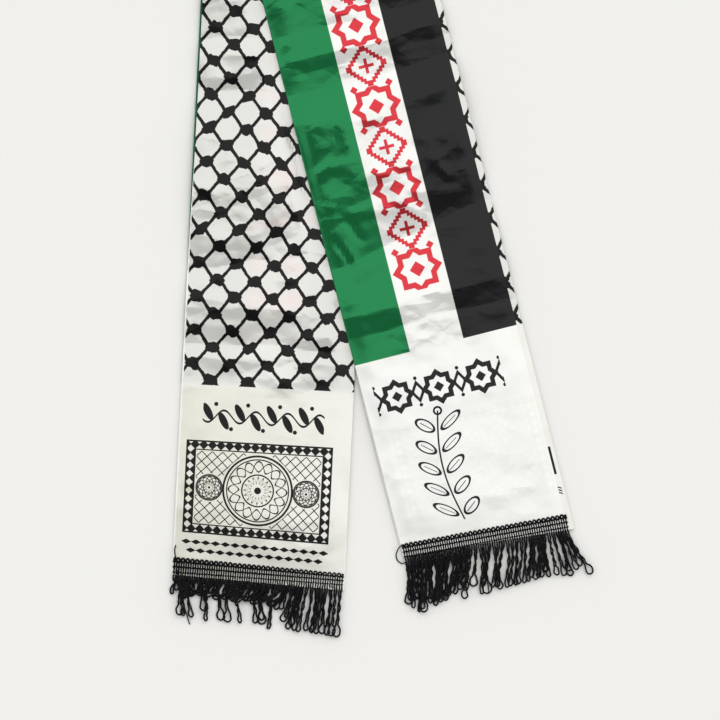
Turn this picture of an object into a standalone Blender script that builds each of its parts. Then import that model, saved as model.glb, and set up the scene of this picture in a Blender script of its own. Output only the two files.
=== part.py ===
"""Flag scarf of printed satin with a loop fringe at each end, folded once across and laid flat.

The scarf is a flat tube of two panels. One carries the flag bands and wraps the tube's left edge, the other carries the
fishnet print and wraps its right edge. The fold lies at the top (+Y). The net stretch comes down from it on the left
with its net side up, and the flag stretch comes down over it on the right with its flag side up.
Lengths are in metres, +Z is up, and the origin is at the middle of the underside of the whole part.
"""

import math

import bmesh
import bpy
from mathutils import Matrix, Vector

# Cloth
SCARF_WIDTH = 0.141
SCARF_LENGTH = 1.278
FLAG_STRETCH = 0.632
NET_STRETCH = SCARF_LENGTH - FLAG_STRETCH
WALL = 0.001
GAP = 0.0003

# The tube's edges: how much of each panel shows on the other side
GREEN_WRAP = 0.0016
NET_WRAP = 0.005

# How the folded scarf lies
SPREAD = math.radians(17.1)
TURN = math.radians(5.64)
FOLD_CENTRE = Vector((-0.0696, 0.3413, 0.0))
FOLD_LIFT = 0.003
FOLD_LIFT_FADE = 0.07
DRAPE = (0.004, 0.060)
CLEAR_OF_COVER = (0.012, 0.030)
SKEW_FADE = (0.03, 0.15)
NET_HEM_SKEW = 0.043
FLAG_HEM_SKEW = 0.088
HEM_SKEW_LENGTH = 0.15

# Packing folds stand up across the whole tube, at sixths of its length
PACK_FOLD_LIFT = 0.0009
PACK_FOLD_REACH = 0.018

# Fringe: a heading tape over the hem and cord loops that hang from it
TAPE_WIDTH = 0.0115
TAPE_BASE = 0.0009
TAPE_RIDGE = 0.0006
TAPE_RIDGES = 3
TAPE_INSET = 0.0006
LOOPS = 36
CORD = 0.0013
LOOP_ROOT = 0.003
LOOP_HALF_WIDTH = 0.00095
LOOP_END_HALF_WIDTH = 0.0016
LOOP_DROP = 0.012
UNEVEN_LEAN = 0.0007
UNEVEN_LENGTH = 0.04
CORD_OFF_SEAM = 0.00001
FLOOR_CLEARANCE = 0.0002

# Derived sizes
HALF_WIDTH = SCARF_WIDTH / 2
HALF_SPREAD = SPREAD / 2
TUBE_HALF = WALL + GAP / 2
WALL_CENTRE = (WALL + GAP) / 2
LAYER = 2 * TUBE_HALF + GAP
FOLD_RADIUS = (LAYER + FOLD_LIFT) / 2
PACK_PITCH = SCARF_LENGTH / 6

# Relief of each upper wall along its stretch: distance from the fold, height over its flat lie
FLAG_RELIEF = (
    (0.000, 0.0000),
    (0.030, 0.0003),
    (0.070, 0.0008),
    (0.111, 0.0014),
    (0.152, 0.0006),
    (0.193, 0.0005),
    (0.214, 0.0020),
    (0.240, 0.0003),
    (0.268, 0.0020),
    (0.307, 0.0010),
    (0.339, 0.0014),
    (0.374, 0.0002),
    (0.400, 0.0010),
    (0.426, 0.0022),
    (0.442, 0.0004),
    (0.466, 0.0010),
    (0.518, 0.0009),
    (0.570, 0.0006),
    (0.612, 0.0000),
    (0.632, 0.0000),
)
NET_RELIEF = (
    (0.000, 0.0000),
    (0.030, 0.0003),
    (0.070, 0.0008),
    (0.120, 0.0011),
    (0.165, 0.0004),
    (0.204, 0.0004),
    (0.222, 0.0020),
    (0.249, 0.0004),
    (0.273, 0.0017),
    (0.306, 0.0007),
    (0.334, 0.0014),
    (0.385, 0.0002),
    (0.412, 0.0010),
    (0.434, 0.0022),
    (0.454, 0.0005),
    (0.477, 0.0013),
    (0.500, 0.0005),
    (0.540, 0.0013),
    (0.580, 0.0006),
    (0.626, 0.0000),
    (0.646, 0.0000),
)
LONGEST_ROW = 0.022
FOLD_STEPS = 6
EDGE_STEPS = 4
CROWN_POWER = 4

# Columns of a panel as shares of its width, closer together by its edges
COLUMNS = (0.0, 0.06, 0.19, 0.34, 0.5, 0.66, 0.81, 0.94, 1.0)

# How the loops lie: place across the hem from -1 to 1, sideways lean at the loop's end, length below the tape
FLAG_FRINGE_LIE = (
    (-1.00, -0.013, 0.041),
    (-0.85, -0.009, 0.046),
    (-0.60, -0.003, 0.041),
    (-0.25, -0.001, 0.041),
    (0.00, 0.003, 0.040),
    (0.30, 0.007, 0.041),
    (0.70, 0.008, 0.040),
    (0.92, 0.008, 0.041),
    (1.00, 0.010, 0.044),
)
NET_FRINGE_LIE = (
    (-1.00, -0.001, 0.020),
    (-0.90, 0.005, 0.036),
    (-0.76, 0.006, 0.041),
    (-0.60, -0.003, 0.034),
    (-0.50, -0.007, 0.017),
    (-0.36, -0.003, 0.034),
    (-0.18, -0.001, 0.034),
    (-0.10, -0.005, 0.017),
    (0.04, -0.002, 0.034),
    (0.20, 0.000, 0.036),
    (0.28, -0.004, 0.022),
    (0.40, -0.001, 0.041),
    (1.00, 0.001, 0.041),
)

# Colours
WHITE_SATIN = (0.90, 0.90, 0.87, 1.0)
GREEN_SATIN = (0.03, 0.27, 0.10, 1.0)
BLACK_YARN = (0.008, 0.009, 0.011, 1.0)


def smooth(value, low, high):
    """0 below low, 1 above high and an S-curve between them."""
    share = min(1.0, max(0.0, (value - low) / (high - low)))
    return share * share * (3 - 2 * share)


def read_table(table, value, column):
    """The table's column at value, which its first column lists in rising order."""
    if value <= table[0][0]:
        return table[0][column]
    for lower, upper in zip(table, table[1:]):
        if value <= upper[0]:
            share = (value - lower[0]) / (upper[0] - lower[0])
            return lower[column] + share * (upper[column] - lower[column])
    return table[-1][column]


class Stretch:
    """One of the two halves that come down from the fold. side is -1 for the net stretch and 1 for the flag stretch."""

    def __init__(self, side, length, hem_skew, relief):
        self.side = side
        self.length = length
        self.hem_skew = hem_skew
        self.relief = relief
        self.down = Vector((side * math.sin(HALF_SPREAD), -math.cos(HALF_SPREAD)))
        self.right = Vector((math.cos(HALF_SPREAD), side * math.sin(HALF_SPREAD)))

    def skew(self, along):
        """How much further from the fold a row lies for each metre to the right. Rows run along the fold, then square."""
        at_fold = self.side * math.tan(HALF_SPREAD) * (1 - smooth(along, *SKEW_FADE))
        at_hem = self.hem_skew * smooth(along, self.length - HEM_SKEW_LENGTH, self.length)
        return at_fold + at_hem

    def plan(self, along, across):
        """The place in the fold's own plan, which has its x axis on the fold line and y pointing up from it."""
        return self.down * (along + across * self.skew(along)) + self.right * across

    def bare(self, place):
        """0 where the flag stretch covers the net stretch and 1 well clear of it."""
        if self.side > 0:
            return 1.0
        cover_edge = -HALF_WIDTH - place.dot(FLAG.right)
        return smooth(cover_edge, *CLEAR_OF_COVER)

    def lie(self, place, along):
        """Height of the tube's underside: the flag stretch lies on the net stretch and comes down beside it."""
        if self.side < 0:
            return 0.0
        beside = place.dot(NET.right) - HALF_WIDTH
        over_net = LAYER * (1 - smooth(beside, *DRAPE))
        return over_net + FOLD_LIFT * (1 - smooth(along, 0.0, FOLD_LIFT_FADE))

    def pack_lift(self, along):
        """Both walls rise together in a low tent over each packing fold."""
        hem_to_fold = self.length - along
        nearest = round(hem_to_fold / PACK_PITCH) * PACK_PITCH
        if nearest < PACK_PITCH / 2 or nearest > self.length - PACK_PITCH / 2:
            return 0.0
        return PACK_FOLD_LIFT * max(0.0, 1 - abs(hem_to_fold - nearest) / PACK_FOLD_REACH)

    def puff(self, along, across):
        """Height of the upper wall over its flat lie."""
        place = self.plan(along, across)
        crown = 1 - (across / HALF_WIDTH) ** CROWN_POWER
        return read_table(self.relief, along, 1) * max(0.0, crown) * self.bare(place)

    def middle(self, along, across):
        """A point on the tube's middle surface, and the way its flag side faces."""
        place = self.plan(along, across)
        height = self.lie(place, along) + TUBE_HALF + self.pack_lift(along) * self.bare(place)
        return Vector((place.x, place.y, height)), Vector((0, 0, self.side))


NET = Stretch(-1, NET_STRETCH, NET_HEM_SKEW, NET_RELIEF)
FLAG = Stretch(1, FLAG_STRETCH, FLAG_HEM_SKEW, FLAG_RELIEF)


def fold_middle(angle, across):
    """The middle surface round the fold: angle 0 is where the net stretch ends and pi where the flag stretch starts."""
    centre = TUBE_HALF + FOLD_RADIUS
    outward = Vector((0, math.sin(angle), -math.cos(angle)))
    middle = Vector((across / math.cos(HALF_SPREAD), 0, centre)) + outward * FOLD_RADIUS
    return middle, outward


def to_part(point):
    """From the fold's own frame to the part's frame."""
    return FOLD_CENTRE + Matrix.Rotation(TURN, 3, "Z") @ point


def stations(stretch):
    """Distances from the fold of the rows of a stretch: its relief's crests and hollows, and rows between them."""
    rows = []
    for (start, _), (end, _) in zip(stretch.relief, stretch.relief[1:]):
        parts = math.ceil((end - start) / LONGEST_ROW)
        rows += [start + (end - start) * k / parts for k in range(parts)]
    return rows + [stretch.length]


def cloth_rows():
    """Every row of the cloth from the net hem round the fold to the flag hem, as functions of the place across."""
    rows = []
    for along in reversed(stations(NET)):
        rows.append((NET, along))
    for k in range(1, FOLD_STEPS):
        rows.append((None, math.pi * k / FOLD_STEPS))
    for along in stations(FLAG):
        rows.append((FLAG, along))
    return rows


def edge_turn(side, wrap):
    """The turn of a panel round the tube's edge, as (across, height) on the wall's middle, and its lip beyond."""
    centre = side * (HALF_WIDTH - TUBE_HALF)
    turn = []
    for k in range(1, EDGE_STEPS):
        angle = math.pi * k / EDGE_STEPS
        turn.append((centre + side * WALL_CENTRE * math.sin(angle), WALL_CENTRE * math.cos(angle)))
    turn.append((centre, -WALL_CENTRE))
    lip_end = side * (HALF_WIDTH - wrap)
    turn.append((lip_end, -WALL_CENTRE))
    return turn


def panel_section(side, own_wrap, other_wrap):
    """A panel's section from its seam, across its own side and round the edge at side, as (across, height)."""
    seam = -side * (HALF_WIDTH - other_wrap - GAP)
    turn_start = side * (HALF_WIDTH - TUBE_HALF)
    flat = [(seam + (turn_start - seam) * share, WALL_CENTRE) for share in COLUMNS]
    return flat + edge_turn(side, own_wrap)


def make_material(name, colour, roughness):
    material = bpy.data.materials.new(name)
    material.use_nodes = True
    shader = material.node_tree.nodes["Principled BSDF"]
    shader.inputs["Base Color"].default_value = colour
    shader.inputs["Roughness"].default_value = roughness
    shader.inputs["Metallic"].default_value = 0.0
    return material


def add_object(name, mesh, collection, material):
    piece = bpy.data.objects.new(name, mesh)
    collection.objects.link(piece)
    mesh.materials.clear()
    mesh.materials.append(material)
    return piece


def panel(name, section, flag_side, collection, material):
    """A panel of cloth: an open grid of rows along the scarf by points of the section, thickened to a wall.

    flag_side is 1 for the panel on the tube's flag side and -1 for the one on its net side."""
    rows = cloth_rows()
    bm = bmesh.new()
    last_row, last_column = len(rows) - 1, len(section) - 1
    bmesh.ops.create_grid(bm, x_segments=last_column, y_segments=last_row, size=0.5)
    for vertex in bm.verts:
        column = round((vertex.co.x + 0.5) * last_column)
        row = round((vertex.co.y + 0.5) * last_row)
        stretch, station = rows[row]
        across, height = section[column]
        raised = 0.0
        if stretch is None:
            middle, outward = fold_middle(station, across)
        else:
            middle, outward = stretch.middle(station, across)
            if stretch.side == flag_side and height == WALL_CENTRE:
                raised = stretch.puff(station, across)
        vertex.co = to_part(middle + outward * flag_side * (height + raised))
    mesh = bpy.data.meshes.new(name)
    bm.to_mesh(mesh)
    bm.free()
    piece = add_object(name, mesh, collection, material)
    thicken = piece.modifiers.new("Cloth thickness", "SOLIDIFY")
    thicken.thickness = WALL
    thicken.offset = 0.0
    thicken.use_even_offset = True
    mesh.shade_smooth()
    return piece


def mesh_of(curve_object):
    """The curve's mesh with its caps welded, in place of the curve."""
    graph = bpy.context.evaluated_depsgraph_get()
    mesh = bpy.data.meshes.new_from_object(curve_object.evaluated_get(graph))
    mesh.transform(curve_object.matrix_world)
    bm = bmesh.new()
    bm.from_mesh(mesh)
    bmesh.ops.remove_doubles(bm, verts=bm.verts, dist=0.00001)
    bm.to_mesh(mesh)
    bm.free()
    bpy.data.objects.remove(curve_object)
    return mesh


def tape(name, stretch, collection):
    """The heading tape: a flat strip with raised rows of stitches, laid on the hem from edge to edge."""
    outline = [(0.0, 0.0), (TAPE_WIDTH, 0.0), (TAPE_WIDTH, TAPE_BASE)]
    pitch = TAPE_WIDTH / TAPE_RIDGES
    for ridge in range(TAPE_RIDGES, 0, -1):
        low, high = (ridge - 1) * pitch, ridge * pitch
        outline.append((high - 0.25 * pitch, TAPE_BASE + TAPE_RIDGE))
        outline.append((low + 0.25 * pitch, TAPE_BASE + TAPE_RIDGE))
        outline.append((low, TAPE_BASE))
    curve = bpy.data.curves.new(name, "CURVE")
    curve.dimensions = "2D"
    curve.fill_mode = "BOTH"
    curve.extrude = HALF_WIDTH - TAPE_INSET
    spline = curve.splines.new("POLY")
    spline.points.add(len(outline) - 1)
    for point, (from_hem, height) in zip(spline.points, outline):
        point.co = (from_hem, height, 0.0, 1.0)
    spline.use_cyclic_u = True
    strip = bpy.data.objects.new(name, curve)
    collection.objects.link(strip)
    hem_left, hem_right = (
        to_part(stretch.middle(stretch.length, side * HALF_WIDTH)[0]) for side in (-1, 1)
    )
    along_hem = (hem_right - hem_left).normalized()
    up = Vector((0, 0, 1))
    towards_fold = up.cross(along_hem)
    base = (hem_left + hem_right) / 2 + up * (TUBE_HALF + GAP)
    strip.matrix_world = Matrix.Translation(base) @ Matrix((towards_fold, up, along_hem)).transposed().to_4x4()
    bpy.context.view_layer.update()
    return mesh_of(strip)


def loop_points(stretch, number, lie):
    """The line of one cord loop: down from the tape, round its end and back up, as points in the part's frame."""
    spread = 2 * (HALF_WIDTH - TAPE_INSET - CORD)
    root = (number + 0.5) / LOOPS - 0.5
    uneven = math.sin(2.4 * number) * 0.5 + math.sin(5.1 * number + 1) * 0.5
    lean = read_table(lie, 2 * root, 1) + UNEVEN_LEAN * uneven
    length = read_table(lie, 2 * root, 2) * (1 + UNEVEN_LENGTH * uneven)
    lowest = CORD / 2 + FLOOR_CLEARANCE
    level = lowest if number % 2 else lowest + CORD + GAP
    start_height = 2 * TUBE_HALF + GAP + CORD / 2 + CORD_OFF_SEAM
    # Down one leg: distance below the hem, half width of the loop, share of the drop to its level
    leg = (
        (-LOOP_ROOT, LOOP_HALF_WIDTH, 0.0),
        (0.0012, LOOP_HALF_WIDTH, 0.0),
        (LOOP_DROP, LOOP_HALF_WIDTH * 0.9, 1.0),
        (0.6 * length, LOOP_HALF_WIDTH, 1.0),
        (length - LOOP_END_HALF_WIDTH, LOOP_END_HALF_WIDTH, 1.0),
        (length, LOOP_END_HALF_WIDTH * 0.5, 1.0),
    )
    points = []
    for side in (-1, 1):
        half = []
        for below, half_width, drop in leg:
            share = max(0.0, below) / length
            across = root * spread + side * half_width + lean * share * share
            place = stretch.plan(stretch.length, across) + stretch.down * below
            height = start_height + (level - start_height) * drop
            half.append(to_part(Vector((place.x, place.y, height))))
        points += half if side < 0 else half[::-1]
    return points


def cord_loops(name, stretch, lie, collection):
    """All the loops of one fringe as one mesh of separate four-sided cords."""
    curve = bpy.data.curves.new(name, "CURVE")
    curve.dimensions = "3D"
    curve.bevel_depth = CORD / 2
    curve.bevel_resolution = 0
    curve.use_fill_caps = True
    for number in range(LOOPS):
        points = loop_points(stretch, number, lie)
        spline = curve.splines.new("POLY")
        spline.points.add(len(points) - 1)
        for point, place in zip(spline.points, points):
            point.co = (*place, 1.0)
    loops = bpy.data.objects.new(name, curve)
    collection.objects.link(loops)
    bpy.context.view_layer.update()
    return mesh_of(loops)


def fringe(name, stretch, lie, collection, cutters, material):
    """A heading tape with its loops fused into it."""
    loops = add_object(name + "_loops", cord_loops(name, stretch, lie, cutters), cutters, material)
    loops.hide_render = True
    loops.display_type = "WIRE"
    strip = add_object(name, tape(name, stretch, cutters), collection, material)
    fuse = strip.modifiers.new("Loops", "BOOLEAN")
    fuse.operation = "UNION"
    fuse.solver = "EXACT"
    fuse.object = loops
    return strip


def main():
    for existing in list(bpy.data.objects):
        bpy.data.objects.remove(existing)
    collection = bpy.data.collections.new("Flag scarf")
    cutters = bpy.data.collections.new("Fringe loops")
    for group in (collection, cutters):
        bpy.context.scene.collection.children.link(group)
    green = make_material("Flag satin", GREEN_SATIN, 0.35)
    white = make_material("Net satin", WHITE_SATIN, 0.35)
    yarn = make_material("Fringe yarn", BLACK_YARN, 0.7)
    panel("flag_panel", panel_section(-1, GREEN_WRAP, NET_WRAP), 1, collection, green)
    panel("net_panel", panel_section(1, NET_WRAP, GREEN_WRAP), -1, collection, white)
    fringe("net_end_fringe", NET, NET_FRINGE_LIE, collection, cutters, yarn)
    fringe("flag_end_fringe", FLAG, FLAG_FRINGE_LIE, collection, cutters, yarn)


main()
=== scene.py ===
"""Looks of the flag scarf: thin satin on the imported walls, its prints, and its two knitted fringes.

Lengths are in metres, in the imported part's frame. The prints are worked out in millimetres of flat cloth.
"""

import math
import random

import bmesh
import bpy
import numpy as np
from mathutils import Matrix, Vector, noise


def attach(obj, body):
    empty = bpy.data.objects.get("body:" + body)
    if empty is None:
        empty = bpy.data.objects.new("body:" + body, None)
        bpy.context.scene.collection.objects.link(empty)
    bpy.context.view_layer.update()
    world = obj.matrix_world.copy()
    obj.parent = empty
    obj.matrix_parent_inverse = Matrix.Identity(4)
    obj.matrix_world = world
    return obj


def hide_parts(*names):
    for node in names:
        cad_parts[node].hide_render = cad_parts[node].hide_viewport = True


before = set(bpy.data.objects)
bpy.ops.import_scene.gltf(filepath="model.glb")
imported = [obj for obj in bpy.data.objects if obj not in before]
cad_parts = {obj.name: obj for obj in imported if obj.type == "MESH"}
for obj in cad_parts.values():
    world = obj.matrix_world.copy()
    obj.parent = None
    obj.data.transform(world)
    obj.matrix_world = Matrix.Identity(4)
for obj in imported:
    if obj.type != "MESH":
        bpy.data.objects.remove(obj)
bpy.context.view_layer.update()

MM = 0.001

# The laid scarf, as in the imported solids: a flat tube, folded once, with each panel wrapped round an edge
SCARF_WIDTH = 0.141
HALF_WIDTH = SCARF_WIDTH / 2
SCARF_LENGTH = 1.278
FLAG_STRETCH = 0.632
NET_STRETCH = SCARF_LENGTH - FLAG_STRETCH
TUBE = 0.0023
GAP = 0.0003
LAYER = TUBE + GAP
GREEN_WRAP = 0.0016
NET_WRAP = 0.005
HALF_SPREAD = math.radians(17.1) / 2
TURN = math.radians(5.64)
FOLD_CENTRE = np.array((-0.0696, 0.3413, 0.0))
FOLD_LIFT = 0.003
FOLD_LIFT_FADE = 0.07
FOLD_RADIUS = (LAYER + FOLD_LIFT) / 2
FOLD_MIDDLE = TUBE / 2 + FOLD_RADIUS
FOLD_REACH = 0.004
DRAPE = (0.004, 0.060)
SKEW_FADE = (0.03, 0.15)
NET_HEM_SKEW = 0.043
FLAG_HEM_SKEW = 0.088
HEM_SKEW_LENGTH = 0.15

# Satin: its own thickness, the tube's at its edges, and how far in the tube is full
SATIN = 0.00025
EDGE_THICKNESS = 0.0019
EDGE_PILLOW = 0.014

# Relief: share of a long fold that lifts both walls, start beside the stretch above, rounding, and factors
WHOLE_TUBE_SHARE = 0.75
CLEAR_OF_COVER = (0.003, 0.016)
RELIEF_ROUNDING = 0.0006
FOLD_GAIN = 1.15
# Bends of the long folds: size, turns across and along the cloth
FOLD_BENDS = ((0.0018, 31, 17), (0.0010, 83, -40))
# Short creases: size and turns of their bends, and how blunt their crests are
CREASE_BEND = (0.0012, 190)
CREASE_BLUNT = 0.004
CREASE_GAIN = 1.9
CREASE_REACH = 1.6
# Where the relief fades in: from the fold, the hem and the tube's edges
RELIEF_FROM_FOLD = 0.03
RELIEF_FROM_HEM = (0.008, 0.035)
CREASE_FROM_EDGE = (-0.002, 0.008)
CRUMPLE_FROM_EDGE = (0.0, 0.016)
# Crumple: length, width and height of its facets, their turn, and what keeps its mean at nothing
COARSE_FACETS = (0.045, 0.052, 0.0016)
FINE_FACETS = (0.019, 0.024, 0.0006)
FACET_TURN = (0.87, 0.50)
FACET_MEAN = 0.00035
# The plain end block's share of the relief, and where it begins, from the hem
BLOCK_RELIEF = 0.3
BLOCK_FADE = (0.196, 0.165)

# Mesh of the cloth. Edges that bend more than CREASE_ANGLE, in degrees, are shaded sharp.
ROW_PITCH = 0.0016
HIDDEN_ROW_PITCH = 0.007
COLUMN_PITCH = 0.0022
WRAP_PITCH = 0.0009
SEAM = 0.00003
EDGE_COLUMNS = (0.0, 0.0006, 0.0013, 0.0022, 0.0035, 0.005)
EDGE_STEPS = 5
FOLD_STEPS = 14
CREASE_ANGLE = 2.4

# Where the plain end blocks start, from the fold
NET_PRINT_END = 0.4877
FLAG_PRINT_END = 0.4659

# The photo's frame: the camera looks straight down
PHOTO_SIZE = 720
METRES_PER_PIXEL = 0.000814
FOLD_PIXEL = (298.2, -210.3)
CAMERA_HEIGHT = 4.0

# Studio: the sky darkens from overhead away from its bright side, and is bright again near the horizon.
# Each ramp has two places, towards the bright side or upwards, and the strengths there.
SKY_BRIGHT_SIDE = (0.16, 0.987, 0.0)
SKY_RAMP = (-0.155, -0.06, 0.22, 1.30)
SKY_FILL = (0.90, 0.75, 0.0, 0.95)
SKY_COLOUR = (1.0, 0.997, 0.985, 1.0)
LIGHT_FROM = Vector((0.30, 0.62, 1.0))
SUN_STRENGTH = 0.5
SUN_ANGLE = math.radians(24)
SUN_COLOUR = (1.0, 0.99, 0.97)
FLOOR_SHADER = {"Base Color": (0.744, 0.740, 0.723, 1.0), "Roughness": 0.9, "Specular IOR Level": 0.1}
FLOOR_HALF = 6.0
FLOOR_BELOW = 0.0002

# Long folds of each upper wall, in millimetres: distance from the fold, height
FLAG_RELIEF = (
    (0, 0), (30, 0.6), (75, 1.5), (111, 2.6), (150, 3), (193, 0.4),
    (213.8, 3.1), (225, 1.5), (239.5, 0.5), (266, 5.7), (300, 4.4), (340, 2.3),
    (373.5, 0.1), (426.2, 2.9), (443.6, 0.9), (466, 1), (518, 0.7), (570, 0.6),
    (612, 0.5), (632, 0.3),
)
NET_RELIEF = (
    (0, 0), (30, 0.6), (80, 1.4), (130, 2.9), (175.5, 2.8), (205, 0.7),
    (219, 2.6), (246, 0.4), (285, 3.2), (322, 4.1), (383, 0.1), (424, 2.1),
    (438, 1.6), (455, 0.2), (466, 0.9), (486, 0.6), (540, 0.8), (590, 1),
    (628, 0.1), (646, 0),
)

# How far the long folds lean from square: distance from the fold, lean
FOLD_LEAN = ((0.150, 0.0), (0.214, -0.040), (0.300, 0.0), (0.374, -0.20), (0.426, 0.0), (0.650, 0.0))

# Short creases of the upper walls, in millimetres and degrees: distance from the fold, place across, turn,
# length, reach towards the fold, reach towards the hem, height in hundredths
FLAG_CREASES = (
    (203, -66, -28, 26, 5, 4, 45), (199, -48, 62, 22, 4, 6, 35), (219, -62, 9, 34, 4, 7, -40),
    (246, -58, 14, 40, 9, 5, 50), (262, 45, 4, 50, 7, 14, 45), (266, -44, 4, 60, 12, 70, 115),
    (302, 46, 2, 58, 16, 40, 70), (271, -60, -3, 44, 6, 9, 45), (282, -34, 72, 40, 6, 5, 40),
    (305, -57, -24, 30, 4, 6, 45), (313, 10, 20, 34, 9, 6, 40), (327, 38, 74, 36, 5, 4, 35),
    (336, -62, 30, 22, 4, 5, 45), (345, -34, -14, 30, 4, 6, 40), (352, 4, 38, 30, 5, 7, 40),
    (360, -44, 58, 34, 5, 4, -35), (378, -57, 80, 44, 3.5, 3, -45), (384, -50, 84, 40, 5, 8, 40),
    (391, -33, -4, 26, 3, 9, 50), (396, 52, 6, 40, 8, 12, 40), (398, 8, -30, 26, 5, 5, 30),
    (410, -60, 10, 30, 6, 8, 30), (448, -10, -12, 60, 6, 9, 30), (452, 50, 16, 34, 6, 8, 35),
    (478, 48, 70, 40, 7, 7, 30), (497, -60, 64, 46, 6, 8, 35), (512, 20, 6, 80, 9, 12, 35),
    (540, -30, 22, 60, 8, 10, 30), (560, 52, -66, 50, 7, 9, 35), (585, -50, 76, 44, 6, 7, 30),
    (596, 10, -8, 70, 7, 9, 30), (150, 20, 4, 90, 9, 12, 40), (125, -40, -20, 50, 8, 8, 40),
    (90, 30, 30, 60, 9, 9, 40), (60, -30, 10, 60, 8, 10, 35),
)
NET_CREASES = (
    (212, -20, 3, 100, 4, 7, 35), (236, -40, -8, 60, 6, 8, 35), (262, -10, 10, 70, 8, 7, 40),
    (290, -45, 60, 40, 6, 8, 45), (312, -20, -30, 50, 7, 6, 40), (330, -58, 24, 30, 5, 5, 45),
    (348, 0, 66, 46, 7, 6, 40), (366, -30, -12, 60, 8, 7, 40), (392, 20, 40, 50, 7, 8, 40),
    (404, -52, -20, 34, 5, 6, 40), (422, -10, 6, 90, 5, 8, 35), (446, 40, -10, 50, 7, 5, 35),
    (464, -30, 14, 60, 6, 8, 30), (482, 30, -6, 60, 5, 5, 35), (508, -58, 74, 60, 7, 9, 30),
    (531, -60, -62, 40, 6, 8, 25), (556, -62, 78, 60, 7, 9, 30), (572, -54, 40, 36, 6, 7, 35),
    (520, 40, 12, 60, 9, 9, 30), (566, 50, 70, 60, 8, 8, 30), (598, 20, -10, 70, 8, 8, 25),
    (160, -20, 12, 80, 9, 9, 40), (110, 20, -18, 70, 9, 9, 40), (70, -20, 20, 60, 8, 8, 35),
)

# Print colours and tints of the cloth, linear, with one painted shade for the green wrapped round the edge
WHITE = (0.79, 0.79, 0.771, 1.0)
GREEN = (0.008, 0.195, 0.060, 1.0)
BLACK = (0.0115, 0.0125, 0.0122, 1.0)
NET_BLACK = (0.0060, 0.0058, 0.0056, 1.0)
RED = (0.60, 0.034, 0.046, 1.0)
PINK_SHADE = (0.735, 0.57, 0.56, 1.0)
GREY_SHADE = (0.55, 0.55, 0.525, 1.0)
BACKED_SHADE = (0.637, 0.637, 0.61, 1.0)
# Painted shade: the green wrapped round the edge, darkened as if in the turned edge's shadow
PAINTED_SHADE_GREEN = (0.003, 0.085, 0.036, 1.0)
CREAM_SHADE = (0.645, 0.635, 0.553, 1.0)

# How far the satin's lustre takes its own colour, on bare white and on ink
WHITE_SHINE = 0.40
INK_SHINE = 0.70
SATIN_SHADER = {
    "Roughness": 0.18, "Anisotropic": 0.35, "Specular IOR Level": 0.6,
    "Sheen Weight": 0.05, "Sheen Roughness": 0.4,
}
# Finest relief, in millimetres: weave, slubs, and facets by scale, turn, stretch and height
WEAVE_HEIGHT = 0.004
SLUB_HEIGHT = 0.016
SATIN_FACETS = ((0.028, 0.6, 1.5, 0.022), (0.07, -0.5, 1.3, 0.011))

YARN_DARK = (0.003, 0.0032, 0.004, 1.0)
YARN_LIGHT = (0.016, 0.017, 0.020, 1.0)
YARN_SHADER = {"Roughness": 0.8, "Specular IOR Level": 0.14, "Sheen Weight": 0.02, "Sheen Roughness": 0.5}

# Flag bands, in millimetres across, and how soft the prints' edges are
BAND_SOFT = 0.4
END_SOFT = 0.3
GREEN_EDGE = -24.0
BLACK_EDGE = 20.8
BAND_MIDDLE = (GREEN_EDGE + BLACK_EDGE) / 2
# Where the green takes a painted shade, standing in for the turned edge's shadow, and ends past the edge,
# and how far it draws back, from where, over what length
GREEN_FOLD = 71.3
GREEN_WRAP_END = 73.4
GREEN_WRAP_BACK = (1.9, 290.0, 110.0)

# Fishnet, in millimetres
NET_ACROSS = 30.6
NET_ALONG = 27.35
NET_PHASE = (14.1, 456.5)
ROPE_HALF = 1.35
ROPE_STEEP = math.radians(53)
ROPE_FLARE = 0.5
FLARE_REACH = 8.2
KNOT_HALF = (5.6, 4.8)
KNOT_SQUARENESS = 2.3
# How far the net leans from its start up to the fold, and how far it is shifted there and where it is hidden
NET_LEAN = 0.02
NET_LEAN_START = NET_PHASE[1] + 13.7
NET_FADE = 150.0
NET_FOLD_SHIFT = 5.2
NET_HIDDEN_SHIFT = (4.3, 1.75)

# Red ornament of the white band, in millimetres
ORNAMENT_START = 113.0
ORNAMENT_PITCH = 34.0
ORNAMENT_REPEATS = 9
STITCH = 2.4

# Fringe: number of loops, and the cords' radii
LOOPS = 36
HEADER_CORD = 0.00066
NET_FREE_CORD = 0.00086
FLAG_FREE_CORD = 0.00080
PICOT_CORD = 0.00100
TAIL_CORD = 0.00052
# Length of a turn of the plies, step along the cord, and its section, two plies as shares of the radius
CORD_TWIST = 0.0034
CORD_STEP = 0.0008
CORD_LOBES = (1.0, 0.95, 0.86, 0.95, 1.0, 0.95, 0.86, 0.95)
# A loop's legs turn round each other once in a length between these
PAIR_TWIST = (0.018, 0.050)
# Two places on a loop's way, as shares of its reach right and out, for those that lie far over and others
SWEPT_ROUTE = ((0.16, 0.66), (0.60, 0.98))
STRAIGHT_ROUTE = ((0.34, 0.45), (0.72, 0.75))
# Heading tape: its reach, its picots' further reach and half width in pitches, its height, its legs' bends
TAPE_TOP = 0.0094
PICOT = 0.0011
PICOT_HALF = 0.34
HEADER_TOP = TUBE + 0.0007
LEG_BENDS = (-TAPE_TOP, -0.0065, -0.0035, -0.0012)
# Warp rows of the heading tape: distance from the hem, cord radius. How far they wave sideways and up.
WARP_ROWS = ((0.0004, 0.00065), (0.0043, 0.00095), (0.0080, 0.00110))
WARP_WEAVE = 0.00022
WARP_RISE = 0.00025
# Left and right ends of the fringe: in from the cloth's edge, out from the hem, share of the tape's reach
NET_HEM_LIE = ((0.0008, -0.0015, 1.15), (0.0012, -0.0042, 0.85))
FLAG_HEM_LIE = ((0.0008, 0.0010, 1.0), (0.0045, -0.0020, 1.0))
# How many loops from the left have a shorter one beside them, and what share of the others
NET_FILLED = (27, 0.1)
FLAG_FILLED = (13, 0.3)

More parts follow.
